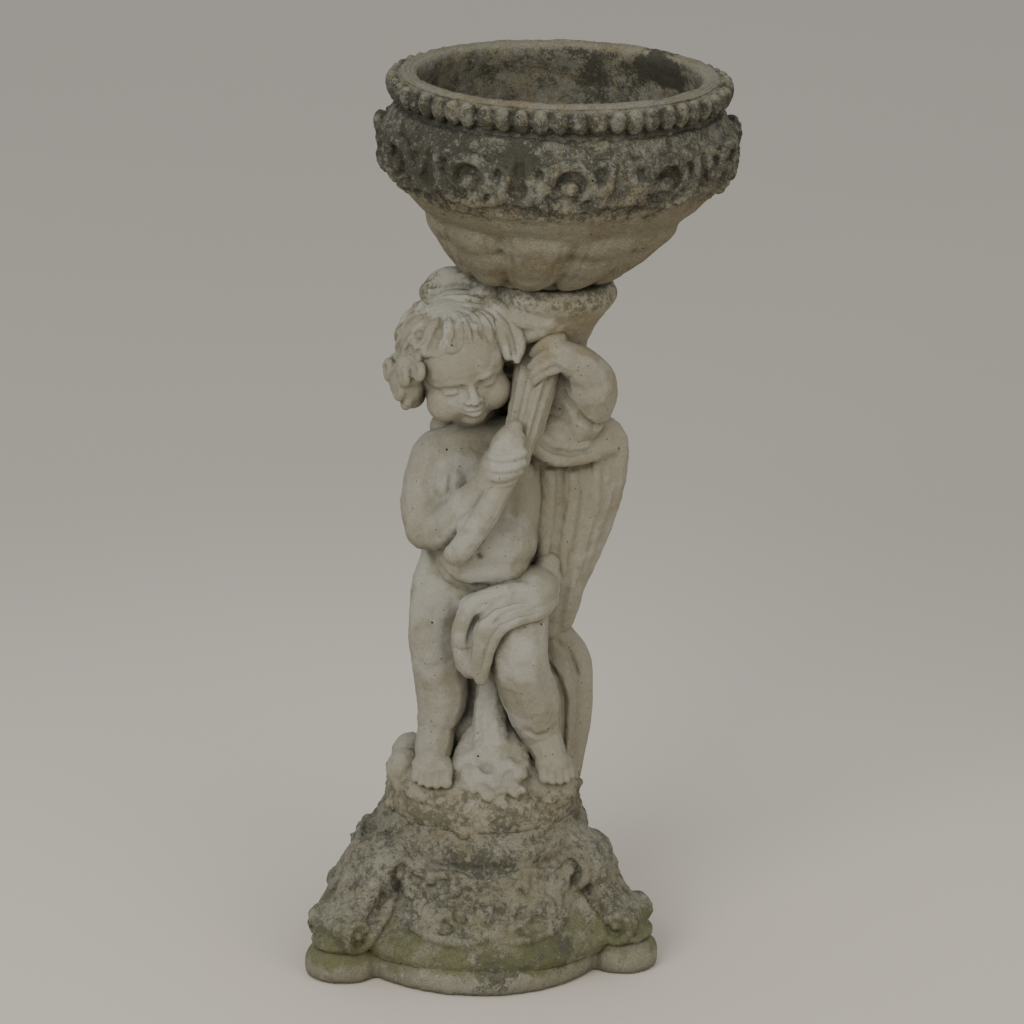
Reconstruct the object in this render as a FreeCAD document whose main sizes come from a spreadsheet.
"""A cast-stone baptismal font: a three-footed scrolled plinth, a child on a rock mound who carries
a fluted horn, and a beaded bowl that lifts off the collar at the horn's mouth.

Millimetres, +Z up. The child faces -Y. The origin is the middle of the plinth's underside.
"""
import FreeCAD, Part
import os
import Sketcher
from FreeCAD import Vector

doc = FreeCAD.newDocument("font")
sheet = doc.addObject("Spreadsheet::Sheet", "Sizes")

# ------------------------------------------------------------------ driving sizes
LENGTHS = {
    # plinth: a slab with three bowed sides and three round feet, a hollow body, a moulded drum
    "foot_ring": 145, "foot_lobe": 34, "plinth_turn": 9, "bow_radius": 121, "bow_reach": 143,
    "slab_height": 28, "slab_edge": 5, "body_foot": 130, "body_waist": 112, "body_head": 96,
    "body_top": 104, "drum_offset": 7, "drum_radius": 94, "drum_waist": 84, "drum_top": 134,
    "scroll_width": 50, "scroll_root": 56, "scroll_head": 86,
    # the bed and the dowel between plinth and figure, and the mound
    "bed_thickness": 2, "dowel_radius": 8, "dowel_length": 90, "dowel_bottom": 84,
    "mound_radius": 87, "mound_rise": 50,
    # steel bars cast into the figure
    "bar_radius": 4, "leg_bar_length": 262, "trunk_bar_length": 410,
    # how much slimmer a cone is than the balls that it joins
    "cone_share": 0.97,
    # collar, spigot and bowl
    "bowl_axis": 58, "collar_bottom": 556, "collar_neck": 31, "collar_radius": 57,
    "seat_height": 618, "seat_radius": 50, "spigot_rise": 34, "spigot_depth": 50,
    "spigot_gap": 0.5, "rim_height": 800, "rim_inner": 121, "rim_outer": 141, "bead_radius": 148,
    "bead_count": 56, "bead_gap": 2, "bead_band": 24, "bead_inner": 135, "band_radius": 154,
    "band_height": 738, "band_half": 33, "band_inner": 140, "bowl_floor": 656, "floor_wide": 90,
    "floor_flat": 40, "lobe_count": 10, "lobe_inner": 62, "lobe_radius": 112, "lobe_top": 672,
    "lobe_gap": 8, "wire_radius": 3,
}
# x, y, z and the radius of the flesh, cloth or stone there
JOINTS = {
    "right_hip": (-30, -4, 334, 27), "right_knee": (-36, -13, 276, 21),
    "right_calf": (-31, -8, 236, 22), "right_ankle": (-36, -10, 192, 14),
    "right_toes": (-42, -50, 174, 11),
    "left_hip": (31, -8, 336, 28), "left_knee": (35, -50, 288, 25),
    "left_calf": (47, -36, 240, 23), "left_ankle": (60, -28, 202, 15),
    "left_toes": (75, -56, 181, 11),
    "rock_back": (54, -34, 160, 22), "rock_front": (68, -50, 160, 20),
    "right_shoulder": (-38, -2, 448, 23), "right_elbow": (-46, -32, 397, 19),
    "right_wrist": (14, -60, 456, 13), "right_palm": (28, -66, 482, 14),
    "left_shoulder": (58, 4, 466, 25), "left_elbow": (92, -14, 512, 25),
    "left_wrist": (74, -36, 554, 15), "left_palm": (60, -42, 562, 13),
    "cranium": (-24, -22, 552, 50), "jaw": (-8, -46, 527, 29),
    "hair_cap": (-31, -6, 557, 52), "hair_side": (-66, -24, 532, 20),
    "tail_tip": (-21, -72, 386, 11), "tail_grip": (25, -74, 460, 13),
    "horn_foot": (34, -52, 492, 17), "horn_mouth": (54, -6, 572, 27),
    "stay_low": (62, 8, 484, 17), "stay_high": (60, 6, 558, 21),
    "stump_head": (14, -14, 246, 15), "stump_root": (12, -24, 178, 22),
    "drape_top": (70, 22, 276, 17), "drape_bend": (84, 20, 216, 18), "drape_end": (78, 16, 166, 20),
    "pad_low": (-46, 2, 600, 13), "pad_high": (-12, 8, 606, 14),
}
# level ellipses from the bottom up: x, y, z, half width, half depth
RINGS = {
    "torso": [(2, -2, 312, 40, 28), (3, -4, 340, 52, 36), (7, -12, 380, 49, 42),
              (6, -7, 415, 43, 36), (6, 0, 446, 46, 30), (0, 0, 468, 32, 24),
              (-8, -8, 490, 18, 17), (-12, -14, 508, 17, 16)],
    "loincloth": [(4, -30, 268, 20, 14), (4, -26, 300, 38, 24), (4, -16, 330, 58, 42),
                  (8, -13, 350, 57, 43), (12, -11, 366, 53, 41)],
    "cape": [(76, 22, 288, 18, 12), (80, 22, 320, 26, 18), (88, 18, 360, 32, 22),
             (92, 16, 420, 37, 23), (93, 14, 456, 37, 23), (88, 12, 484, 30, 21)],
    "back_cloth": [(22, 34, 300, 44, 12), (22, 36, 350, 48, 14), (20, 34, 420, 46, 14),
                   (20, 26, 470, 38, 14), (30, 20, 500, 26, 12)],
}
# the steel bars' feet and the way they run
BARS = {"leg_bar": (-35, -9, 152, 17, 4, 262), "trunk_bar": (79, 14, 150, -19, -14, 445)}

cells = dict(LENGTHS)
for name, numbers in JOINTS.items():
    cells.update({f"{name}_{key}": value for key, value in zip(("x", "y", "z", "radius"), numbers)})
for name, stack in RINGS.items():
    for level, numbers in enumerate(stack):
        keys = ("x", "y", "z", "wide", "deep")
        cells.update({f"{name}{level}_{key}": value for key, value in zip(keys, numbers)})
for name, numbers in BARS.items():
    keys = ("x", "y", "z", "run_x", "run_y", "run_z")
    cells.update({f"{name}_{key}": value for key, value in zip(keys, numbers)})
for line, (alias, value) in enumerate(cells.items(), start=1):
    sheet.set(f"A{line}", alias)
    sheet.set(f"B{line}", str(value))
    sheet.setAlias(f"B{line}", alias)
doc.recompute()


# ------------------------------------------------------------------ ways of making a piece
def linked(text):
    """An expression in which @word stands for the sheet's cell of that name."""
    return text.replace("@", "Sizes.")


def number(text):
    """The value of a sum such as '@drum_radius - 4'."""
    total, sign = 0.0, 1.0
    for word in text.split():
        if word in "+-":
            sign = -1.0 if word == "-" else 1.0
        else:
            total += sign * (cells[word[1:]] if word.startswith("@") else float(word))
    return total


def primitive(kind, name, **expressions):
    """A Part primitive whose properties are all expressions; x, y and z are its base point."""
    made = doc.addObject("Part::" + kind, name)
    for prop, text in expressions.items():
        path = f"Placement.Base.{prop}" if prop in ("x", "y", "z") else prop
        made.setExpression(path, linked(text))
    return made


def fused(name, *pieces):
    made = doc.addObject("Part::MultiFuse", name)
    made.Shapes = list(pieces)
    return made


def cut(name, base, tool):
    made = doc.addObject("Part::Cut", name)
    made.Base, made.Tool = base, tool
    return made


def cone_between(name, start, end):
    """A cone that runs from one joint to another, a little slimmer than the balls at its ends."""
    made = doc.addObject("Part::Cone", name)
    run = [f"(@{end}_{key} - @{start}_{key})" for key in "xyz"]
    length = "hypot({}; {}; {})".format(*run)
    made.setExpression("Height", linked(f"{length} * 1mm"))
    made.setExpression("Radius1", linked(f"@{start}_radius * @cone_share * 1mm"))
    made.setExpression("Radius2", linked(f"@{end}_radius * @cone_share * 1mm"))
    made.setExpression("Placement", linked(
        f"placement(vector(@{start}_x; @{start}_y; @{start}_z); "
        f"rotation(vector(-{run[1]}; {run[0]}; 0); acos({run[2]} / {length})))"))
    return made


def limb(name, *joints):
    """Balls at a chain of joints with cones between them, in one solid."""
    balls = [primitive("Sphere", f"{name}_{joint}", Radius=f"@{joint}_radius", x=f"@{joint}_x",
                       y=f"@{joint}_y", z=f"@{joint}_z") for joint in joints]
    cones = [cone_between(f"{name}_{start}_cone", start, end)
             for start, end in zip(joints, joints[1:])]
    return fused(f"{name}_whole", *balls, *cones)


def swelling(name):
    """A loft up through the level ellipses of that name."""
    rings = []
    for level in range(len(RINGS[name])):
        key = f"@{name}{level}_"
        rings.append(primitive("Ellipse", f"{name}_ring{level}", MajorRadius=key + "wide",
                               MinorRadius=key + "deep", x=key + "x", y=key + "y", z=key + "z"))
    made = doc.addObject("Part::Loft", f"{name}_whole")
    made.Sections = rings
    made.Solid = True
    return made


def steel_bar(name):
    """A round bar along the run that the sheet gives."""
    made = primitive("Cylinder", name, Radius="@bar_radius", Height=f"@{name}_length")
    across = f"vector(-@{name}_run_y; @{name}_run_x; 0)"
    tilt = (f"acos(@{name}_run_z / "
            f"hypot(@{name}_run_x; @{name}_run_y; @{name}_run_z))")
    made.setExpression("Placement", linked(
        f"placement(vector(@{name}_x; @{name}_y; @{name}_z); rotation({across}; {tilt}))"))
    return made


def runs_clockwise(start, through, end):
    """True where three points turn right, which swaps the ends of an arc drawn through them."""
    return (through - start).cross(end - through).z < 0


def outline(body, name, role, points, arcs):
    """A closed sketch through (across, up) expressions, on the body's plane of that role.

    The number of a point in arcs starts an arc through the next point to the one after it.
    """
    sketch = body.newObject("Sketcher::SketchObject", name)
    plane = next(item for item in body.Origin.OriginFeatures if item.Role == role)
    sketch.AttachmentSupport = [(plane, "")]
    sketch.MapMode = "FlatFace"
    corners = [Vector(number(across), number(up), 0) for across, up in points]
    starts, first_ends = [], []
    at = 0
    while at < len(corners):
        after = (at + 1) % len(corners)
        if at in arcs:
            through, after = after, (at + 2) % len(corners)
            sketch.addGeometry(Part.Arc(corners[at], corners[through], corners[after]), False)
            backwards = runs_clockwise(corners[at], corners[through], corners[after])
        else:
            sketch.addGeometry(Part.LineSegment(corners[at], corners[after]), False)
            backwards = False
        starts.append(at)
        first_ends.append(2 if backwards else 1)
        at += 2 if at in arcs else 1
    for edge, corner in enumerate(starts):
        following = (edge + 1) % len(starts)
        sketch.addConstraint(Sketcher.Constraint("Coincident", edge, 3 - first_ends[edge],
                                                 following, first_ends[following]))
        for kind, text in zip(("DistanceX", "DistanceY"), points[corner]):
            place = sketch.addConstraint(
                Sketcher.Constraint(kind, -1, 1, edge, first_ends[edge], number(text)))
            if "@" in text:
                sketch.setExpression(f"Constraints[{place}]", linked(text))
    return sketch


def turned(name, points, arcs=(), axis_x="0"):
    """A body turned about an upright axis from half a section of (radius, height) points."""
    body = doc.addObject("PartDesign::Body", name)
    sketch = outline(body, name + "_section", "XZ_Plane", points, arcs)
    turn = body.newObject("PartDesign::Revolution", name + "_turn")
    turn.Profile = sketch
    turn.ReferenceAxis = (sketch, ["V_Axis"])
    turn.Angle = 360
    body.setExpression("Placement.Base.x", linked(axis_x))
    return body


def notched(body, name, radius, along, low, high, count):
    """Cuts the same round upright notch out of a turned body, evenly round its axis."""
    doc.recompute()
    blank_volume = body.Shape.Volume
    sketch = body.newObject("Sketcher::SketchObject", name + "_circle")
    plane = next(item for item in body.Origin.OriginFeatures if item.Role == "XY_Plane")
    sketch.AttachmentSupport = [(plane, "")]
    sketch.MapMode = "FlatFace"
    sketch.setExpression("AttachmentOffset.Base.z", linked(low))
    centre = Vector(number(along), 0, 0)
    sketch.addGeometry(Part.Circle(centre, Vector(0, 0, 1), number(radius)), False)
    sketch.addConstraint(Sketcher.Constraint("PointOnObject", 0, 3, -1))
    place = sketch.addConstraint(Sketcher.Constraint("DistanceX", -1, 1, 0, 3, number(along)))
    sketch.setExpression(f"Constraints[{place}]", linked(along))
    place = sketch.addConstraint(Sketcher.Constraint("Radius", 0, number(radius)))
    sketch.setExpression(f"Constraints[{place}]", linked(radius))
    pocket = body.newObject("PartDesign::Pocket", name)
    pocket.Profile = sketch
    pocket.Reversed = True
    pocket.setExpression("Length", linked(f"({high}) - ({low})"))
    doc.recompute()
    if body.Shape.Volume > blank_volume - 1:
        raise RuntimeError(f"{name} cuts nothing")
    pattern = body.newObject("PartDesign::PolarPattern", name + "_round")
    pattern.Originals = [pocket]
    pattern.Axis = (next(item for item in body.Origin.OriginFeatures if item.Role == "Z_Axis"), [""])
    pattern.Angle = 360
    pattern.setExpression("Occurrences", linked(count))
    body.Tip = pattern


# ------------------------------------------------------------------ plinth
# One casting: slab, hollow body, drum and three scroll feet, each a piece of its own here.
FEET = {"left": 210, "right": 330, "back": 90}
SIDES = {"front": 270, "right": 30, "left": 150}

bows = [primitive("Cylinder", f"bow_{side}", Radius="@bow_radius", Height="@slab_height",
                  x=f"cos({angle} + @plinth_turn) * (@bow_reach - @bow_radius)",
                  y=f"sin({angle} + @plinth_turn) * (@bow_reach - @bow_radius)")
        for side, angle in SIDES.items()]
lobes = [primitive("Cylinder", f"lobe_{side}", Radius="@foot_lobe", Height="@slab_height",
                   x=f"cos({angle} + @plinth_turn) * @foot_ring",
                   y=f"sin({angle} + @plinth_turn) * @foot_ring")
         for side, angle in FEET.items()]
slab_blank = fused("slab_blank", *bows, *lobes)
slab_blank.Refine = True
doc.recompute()
slab = doc.addObject("Part::Fillet", "plinth_slab")
slab.Base = slab_blank
upper_edges = [place for place, edge in enumerate(slab_blank.Shape.Edges, start=1)
               if abs(edge.BoundBox.ZMin - cells["slab_height"]) < 0.001]
slab.Edges = [(place, cells["slab_edge"], cells["slab_edge"]) for place in upper_edges]

dowel = primitive("Cylinder", "figure_dowel", Radius="@dowel_radius", Height="@dowel_length",
                  x="@drum_offset", z="@dowel_bottom")
body_blank = turned("body_blank", [
    ("0", "@slab_height"), ("@body_foot", "@slab_height"), ("@body_waist", "@slab_height + 34"),
    ("@body_head", "@body_top"), ("0", "@body_top")], arcs=(1,))
drum_blank = turned("drum_blank", [
    ("0", "@body_top"), ("@drum_radius - 8", "@body_top"), ("@drum_radius", "@body_top + 11"),
    ("@drum_waist", "@body_top + 23"), ("@drum_waist", "@drum_top"), ("0", "@drum_top")],
    arcs=(1,), axis_x="@drum_offset")
bed_blank = primitive("Cylinder", "bed_blank", Radius="@drum_waist - 3", Height="@bed_thickness",
                      x="@drum_offset", z="@drum_top")
plinth = [slab, cut("plinth_body", body_blank, dowel), cut("plinth_drum", drum_blank, dowel),
          cut("mortar_bed", bed_blank, dowel), dowel]

core = fused("plinth_core", body_blank, drum_blank)
SCROLL_SIDE = [
    ("@scroll_root", "@slab_height"), ("@scroll_root", "@body_top + 6"),
    ("@scroll_head + 4", "@body_top + 6"), ("@scroll_head + 28", "@body_top - 4"),
    ("@scroll_head + 36", "@body_top - 24"), ("@scroll_head + 41", "@slab_height + 36"),
    ("@foot_ring - 5", "@slab_height + 24"),
    ("@foot_ring + 16", "@slab_height + 18"), ("@foot_ring + 23", "@slab_height")]
for side, angle in FEET.items():
    scroll = doc.addObject("PartDesign::Body", f"scroll_{side}")
    pad = scroll.newObject("PartDesign::Pad", f"scroll_{side}_pad")
    pad.Profile = outline(scroll, f"scroll_{side}_side", "XZ_Plane", SCROLL_SIDE, arcs=(2, 4, 6))
    pad.Midplane = True
    pad.setExpression("Length", "Sizes.scroll_width")
    scroll.Tip = pad
    scroll.setExpression("Placement", linked(
        f"placement(vector(0; 0; 0); rotation(vector(0; 0; 1); {angle} + @plinth_turn))"))
    plinth.append(cut(f"scroll_foot_{side}", scroll, core))

# ------------------------------------------------------------------ figure, horn and collar
# One casting round two steel bars, bedded on the drum. Each piece is cut back to the neighbours
# that it names, so that they meet face to face.
mound = turned("mound_blank", [
    ("0", "@drum_top + @bed_thickness"), ("@mound_radius", "@drum_top + @bed_thickness"),
    ("@mound_radius - 17", "@drum_top + 33"), ("0", "@drum_top + @bed_thickness + @mound_rise")],
    arcs=(1,), axis_x="@drum_offset")
collar = turned("collar_blank", [
    ("0", "@collar_bottom"), ("@collar_neck + 3", "@collar_bottom"),
    ("@collar_neck", "@collar_bottom + 18"), ("@collar_radius - 5", "@seat_height - 20"),
    ("@collar_radius", "@seat_height - 12"), ("@seat_radius + 2", "@seat_height - 3"),
    ("@seat_radius + 2", "@seat_height"), ("0", "@seat_height")], arcs=(1, 3),
    axis_x="@bowl_axis")
spigot = primitive("Cylinder", "bowl_spigot", Radius="@dowel_radius",
                   Height="@spigot_depth + @spigot_rise", x="@bowl_axis",
                   z="@seat_height - @spigot_depth")
bars = [steel_bar(name) for name in BARS]

CASTING = {
    "rock_mound": (mound, "leg_bar trunk_bar figure_dowel"),
    "foot_rock": (limb("foot_rock", "rock_back", "rock_front"), "rock_mound"),
    "collar": (collar, "trunk_bar bowl_spigot"),
    "right_leg": (limb("right_leg", "right_hip", "right_knee", "right_calf", "right_ankle",
                       "right_toes"), "leg_bar rock_mound"),
    "left_leg": (limb("left_leg", "left_hip", "left_knee", "left_calf", "left_ankle",
                      "left_toes"), "rock_mound foot_rock"),
    "torso": (swelling("torso"), "leg_bar right_leg left_leg"),
    "head": (limb("head", "cranium", "jaw"), "torso"),
    "hair": (limb("hair", "hair_cap", "hair_side"), "collar torso head"),
    "right_arm": (limb("right_arm", "right_shoulder", "right_elbow", "right_wrist"), "torso"),
    "right_hand": (limb("right_hand", "right_wrist", "right_palm"), "right_arm"),
    "left_arm": (limb("left_arm", "left_shoulder", "left_elbow", "left_wrist"),
                 "trunk_bar collar torso"),
    "left_hand": (limb("left_hand", "left_wrist", "left_palm"), "collar left_arm"),
    "horn": (limb("horn", "horn_foot", "horn_mouth"),
             "trunk_bar bowl_spigot collar head hair right_hand left_arm left_hand"),
    "horn_stay": (limb("horn_stay", "stay_low", "stay_high"),
                  "trunk_bar collar torso head hair left_arm left_hand horn cape back_cloth"),
    "horn_tail": (limb("horn_tail", "tail_tip", "tail_grip", "horn_foot"),
                  "right_arm right_hand horn"),
    "loincloth": (swelling("loincloth"), "leg_bar right_leg left_leg torso"),
    "cape": (swelling("cape"), "trunk_bar torso left_arm"),
    "back_cloth": (swelling("back_cloth"), "torso left_arm loincloth cape"),
    "drape_end": (limb("drape_end", "drape_top", "drape_bend", "drape_end"),
                  "trunk_bar rock_mound cape"),
    "tree_stump": (limb("tree_stump", "stump_head", "stump_root"), "figure_dowel rock_mound"),
    "head_pad": (limb("head_pad", "pad_low", "pad_high"), "collar head hair"),
}
wholes = {name: whole for name, (whole, neighbours) in CASTING.items()}
wholes.update({bar.Name: bar for bar in bars})
wholes.update({"figure_dowel": dowel, "bowl_spigot": spigot})
figure = bars + [spigot]
for name, (whole, neighbours) in CASTING.items():
    tools = [wholes[neighbour] for neighbour in neighbours.split()]
    tool = fused(f"{name}_neighbours", *tools) if len(tools) > 1 else tools[0]
    figure.append(cut(name, whole, tool))

# ------------------------------------------------------------------ bowl
# One casting that lifts off: shell with a wire ring in its rim, bead rim, scroll band, leaf lobes.
shell_blank = turned("shell_blank", [
    ("0", "@seat_height"), ("@seat_radius", "@seat_height"),
    ("@lobe_inner", "@seat_height + 8"), ("@lobe_radius", "@lobe_top"),
    ("@band_inner", "@band_height - @band_half"), ("@band_inner", "@band_height + @band_half"),
    ("@bead_inner", "@rim_height - @bead_band - 2"), ("@bead_inner", "@rim_height - 3"),
    ("@rim_outer - 2", "@rim_height"), ("@rim_inner", "@rim_height"),
    ("@rim_inner + 9", "@band_height + 8"), ("@rim_inner - 3", "@seat_height + 82"),
    ("@floor_wide", "@bowl_floor + 14"), ("@floor_flat", "@bowl_floor"), ("0", "@bowl_floor")],
    arcs=(9, 11),
    axis_x="@bowl_axis")
socket = primitive("Cylinder", "spigot_socket", Radius="@dowel_radius + @spigot_gap",
                   Height="@spigot_rise + @spigot_gap", x="@bowl_axis", z="@seat_height")
rim_wire = primitive("Torus", "rim_wire", Radius1="@rim_outer - 11", Radius2="@wire_radius",
                     x="@bowl_axis", z="@rim_height - 14")
bowl_shell = cut("bowl_shell", shell_blank, fused("shell_hollows", socket, rim_wire))

bead_rim = turned("bead_rim", [
    ("@bead_inner", "@rim_height - @bead_band - 2"),
    ("@bead_radius - 5", "@rim_height - @bead_band - 2"), ("@bead_radius", "@rim_height - 13"),
    ("@rim_outer", "@rim_height - 3"), ("@bead_inner", "@rim_height - 3")], arcs=(1,),
    axis_x="@bowl_axis")
notched(bead_rim, "bead_gap_cut", "@bead_gap", "@bead_radius + 1", "@rim_height - 30",
        "@rim_height", "@bead_count")
scroll_band = turned("scroll_band", [
    ("@band_inner", "@band_height - @band_half"),
    ("@band_radius - 9", "@band_height - @band_half"), ("@band_radius", "@band_height"),
    ("@band_inner + 2", "@band_height + @band_half"),
    ("@band_inner", "@band_height + @band_half")], arcs=(1,), axis_x="@bowl_axis")
leaf_lobes = turned("leaf_lobes", [
    ("@lobe_inner", "@seat_height + 8"), ("@lobe_inner + 16", "@seat_height + 8"),
    ("@lobe_radius - 7", "@seat_height + 25"), ("@lobe_radius + 5", "@lobe_top"),
    ("@lobe_radius", "@lobe_top")], arcs=(1,), axis_x="@bowl_axis")
notched(leaf_lobes, "leaf_gap_cut", "@lobe_gap", "@lobe_radius + 3", "@seat_height",
        "@lobe_top + 4", "@lobe_count")

# ------------------------------------------------------------------ check and write the pieces
NODES = plinth + figure + [bowl_shell, rim_wire, bead_rim, scroll_band, leaf_lobes]
doc.recompute()
troubles = [item.Name for item in doc.Objects if {"Invalid", "Error"} & set(item.State)]
for node in NODES:
    node.Label = node.Name
    shape = node.Shape
    if shape.isNull() or not shape.isValid():
        troubles.append(f"{node.Name} (shape)")
        continue
    box = shape.optimalBoundingBox(True)
    print(f"{node.Name:18s} {len(shape.Solids)} solid  {shape.Volume / 1000:8.1f} cm3  "
          f"x {box.XMin:.1f}..{box.XMax:.1f}  y {box.YMin:.1f}..{box.YMax:.1f}  "
          f"z {box.ZMin:.1f}..{box.ZMax:.1f}")
if troubles:
    raise RuntimeError(f"not built: {troubles}")
os.makedirs("parts", exist_ok=True)
for node in NODES:
    node.Shape.exportStep(f"parts/{node.Name}.step")
